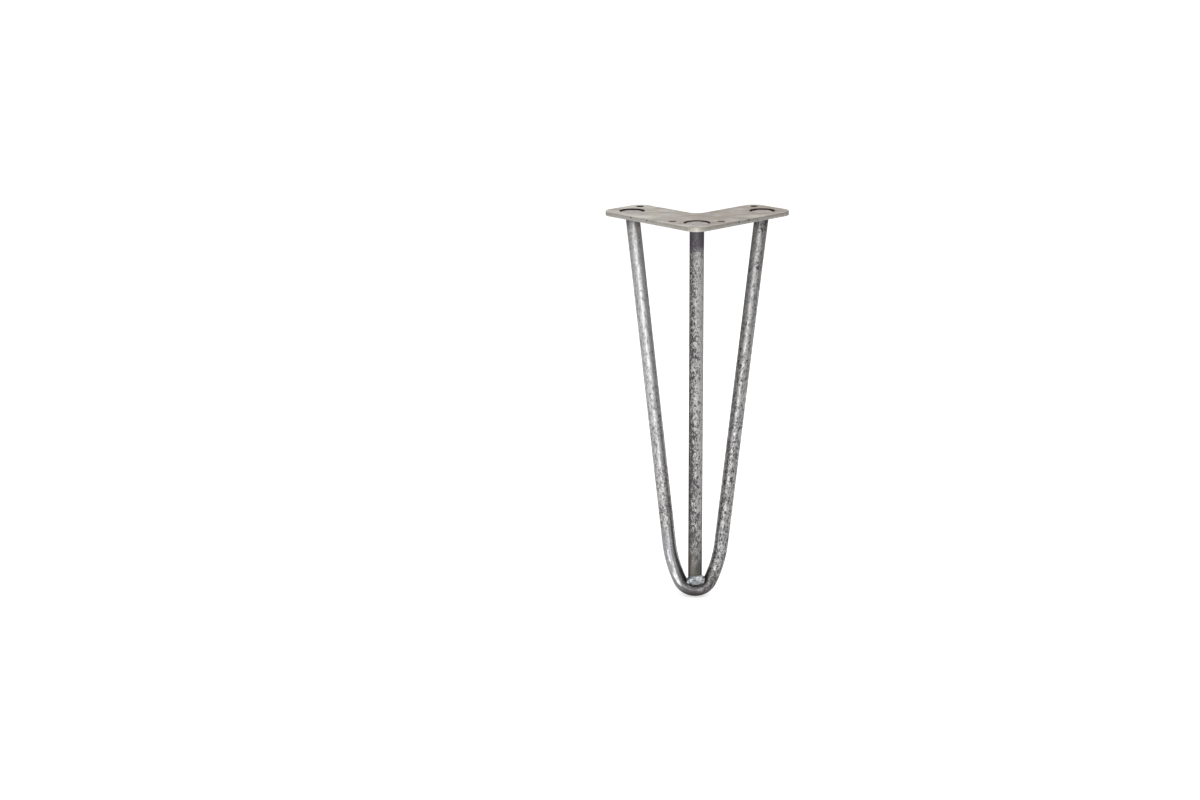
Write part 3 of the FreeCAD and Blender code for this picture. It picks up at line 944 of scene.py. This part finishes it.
class HAIRPINLEG_OT_stage(bpy.types.Operator):
    """Lays the studio floor and sets the lamps, the sky and the camera"""
    bl_idname = "hairpinleg.stage"
    bl_label = "Stage"

    def execute(self, context):
        scene = context.scene
        self.floor(scene)
        self.card(scene)
        self.sky(scene)
        # Each lamp's name, place, aim, width, height and power: the glows lie on the floor and shine up
        for setting in (
            ("low_softbox", (-0.15, -1.2, -0.1), (0, 0, -0.15), 0.8, 0.42, 2.6),
            ("outer_glow", (-0.1, -0.165, -0.3), (-0.1, -0.165, 0), 0.04, 0.19, 0.12),
            ("inner_glow", (-0.03, -0.145, -0.3), (-0.03, -0.145, 0), 0.03, 0.25, 0.12),
            ("left_glow", (-0.75, -0.5, -0.3), (-0.75, -0.5, 0), 0.5, 0.6, 2.5),
            ("high_fill", (0.4, -1.3, 0.85), (0, 0, -0.1), 1.0, 0.6, 3.5),
            ("top_softbox", (0.0, -0.25, 1.3), (0, 0, 0), 1.2, 1.2, 4.5),
            ("back_softbox", (0.0, 1.25, 0.4), (0, 0, 0), 1.4, 0.5, 3.0),
        ):
            self.lamp(scene, *setting)
        self.camera(scene)
        scene.view_settings.view_transform = "Standard"
        return {"FINISHED"}

    @staticmethod
    def seen_share(tree):
        """Node that is 1 for rays that show the background: camera, glossy and transmission."""
        path = add(tree, "LightPath", {}).outputs
        seen = add(tree, "Math", {0: path["Is Camera Ray"], 1: path["Is Glossy Ray"]}, operation="MAXIMUM")
        return add(tree, "Math", {0: seen, 1: path["Is Transmission Ray"]}, operation="MAXIMUM")

    def floor(self, scene):
        form = bmesh.new()
        bmesh.ops.create_circle(form, cap_ends=True, segments=128, radius=16.0,
                                matrix=Matrix.Translation((0, 0, LEG_LOW.z)))
        material, tree, shader = new_material("painted_studio_floor")
        # Half of white is added for the eye, so that the floor reads white and keeps a shadow
        glow = add(tree, "Math", {0: self.seen_share(tree), 1: 0.5}, operation="MULTIPLY")
        feed(tree, shader, {
            "Base Color": colours().floor, "Roughness": 0.9, "Emission Color": (1, 1, 1, 1),
            "Emission Strength": glow})
        self.stage_piece(scene, form, "floor", material)

    def card(self, scene):
        """A grey card round the back and sides, which only shows as reflections in the metal."""
        material, tree, shader = new_material("grey_card")
        feed(tree, shader, {"Base Color": colours().card, "Roughness": 0.9})
        form = bmesh.new()
        low = form.verts.new((0, -1.2, LEG_LOW.z))
        high = form.verts.new((0, -1.2, 0.25))
        edge = form.edges.new((low, high))
        bmesh.ops.rotate(form, verts=[low, high], cent=(0, 0, 0),
                         matrix=Matrix.Rotation(math.radians(50), 3, "Z"))
        bmesh.ops.spin(form, geom=[low, high, edge], cent=(0, 0, 0), axis=(0, 0, 1), dvec=(0, 0, 0),
                       angle=math.radians(260), steps=72, use_merge=False, use_duplicate=False)
        card = self.stage_piece(scene, form, "card", material)
        card.visible_camera = False
        card.visible_diffuse = False
        card.visible_shadow = False

    @staticmethod
    def stage_piece(scene, form, name, material):
        mesh = bpy.data.meshes.new(name)
        form.to_mesh(mesh)
        form.free()
        mesh.materials.append(material)
        piece = bpy.data.objects.new(name, mesh)
        scene.collection.objects.link(piece)
        return piece

    def sky(self, scene):
        world = bpy.data.worlds.new("studio")
        scene.world = world
        world.use_nodes = True
        tree = world.node_tree
        strength = add(tree, "MapRange", {"Value": self.seen_share(tree), "To Min": 0.6, "To Max": 1.0})
        feed(tree, tree.nodes["Background"], {"Color": (1, 1, 1, 1), "Strength": strength})

    @staticmethod
    def lamp(scene, name, place, target, width, height, power):
        light = bpy.data.lights.new(name, "AREA")
        light.shape = "RECTANGLE"
        light.size = width
        light.size_y = height
        light.energy = power
        lamp = bpy.data.objects.new(name, light)
        scene.collection.objects.link(lamp)
        lamp.visible_camera = False
        aim = Vector(target) - Vector(place)
        lamp.matrix_world = Matrix.Translation(place) @ aim.to_track_quat("-Z", "Y").to_matrix().to_4x4()

    @staticmethod
    def camera(scene):
        data = bpy.data.cameras.new("camera")
        data.sensor_width = 36.0
        data.lens = 49.18
        data.clip_end = 100
        camera = bpy.data.objects.new("camera", data)
        scene.collection.objects.link(camera)
        heading = Matrix.Rotation(0.0609, 4, "Z")
        pitch = Matrix.Rotation(math.pi / 2 - 0.2933, 4, "X")
        roll = Matrix.Rotation(-0.0121, 4, "Z")
        camera.matrix_world = Matrix.Translation((-0.0002, -1.2304, 0.23047)) @ heading @ pitch @ roll
        scene.camera = camera


class HAIRPINLEG_PT_sidebar(bpy.types.Panel):
    """Lists the leg's sizes, colours and builders"""
    bl_idname = "HAIRPINLEG_PT_sidebar"
    bl_label = "Hairpin Leg"
    bl_space_type = "VIEW_3D"
    bl_region_type = "UI"
    bl_category = "Hairpin Leg"

    def draw(self, context):
        layout = self.layout
        for group in (context.scene.hairpin_leg_sizes, context.scene.hairpin_leg_colours):
            box = layout.box()
            for name in group.__annotations__:
                box.prop(group, name)
        for operator in OPERATORS:
            layout.operator(operator.bl_idname)


OPERATORS = (
    HAIRPINLEG_OT_top_plate,
    HAIRPINLEG_OT_bars,
    HAIRPINLEG_OT_plug_welds,
    HAIRPINLEG_OT_foot_weld,
    HAIRPINLEG_OT_stage,
)
CLASSES = (HairpinLegSizes, HairpinLegColours, *OPERATORS, HAIRPINLEG_PT_sidebar)


def register():
    for entry in CLASSES:
        bpy.utils.register_class(entry)
    bpy.types.Scene.hairpin_leg_sizes = PointerProperty(type=HairpinLegSizes)
    bpy.types.Scene.hairpin_leg_colours = PointerProperty(type=HairpinLegColours)


def unregister():
    del bpy.types.Scene.hairpin_leg_colours
    del bpy.types.Scene.hairpin_leg_sizes
    for entry in reversed(CLASSES):
        bpy.utils.unregister_class(entry)


def main():
    """Registers the classes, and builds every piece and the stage."""
    register()
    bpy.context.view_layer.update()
    bpy.ops.hairpinleg.top_plate()
    bpy.ops.hairpinleg.bars()
    bpy.ops.hairpinleg.plug_welds()
    bpy.ops.hairpinleg.foot_weld()
    bpy.ops.hairpinleg.stage()


if __name__ == "__main__":
    main()
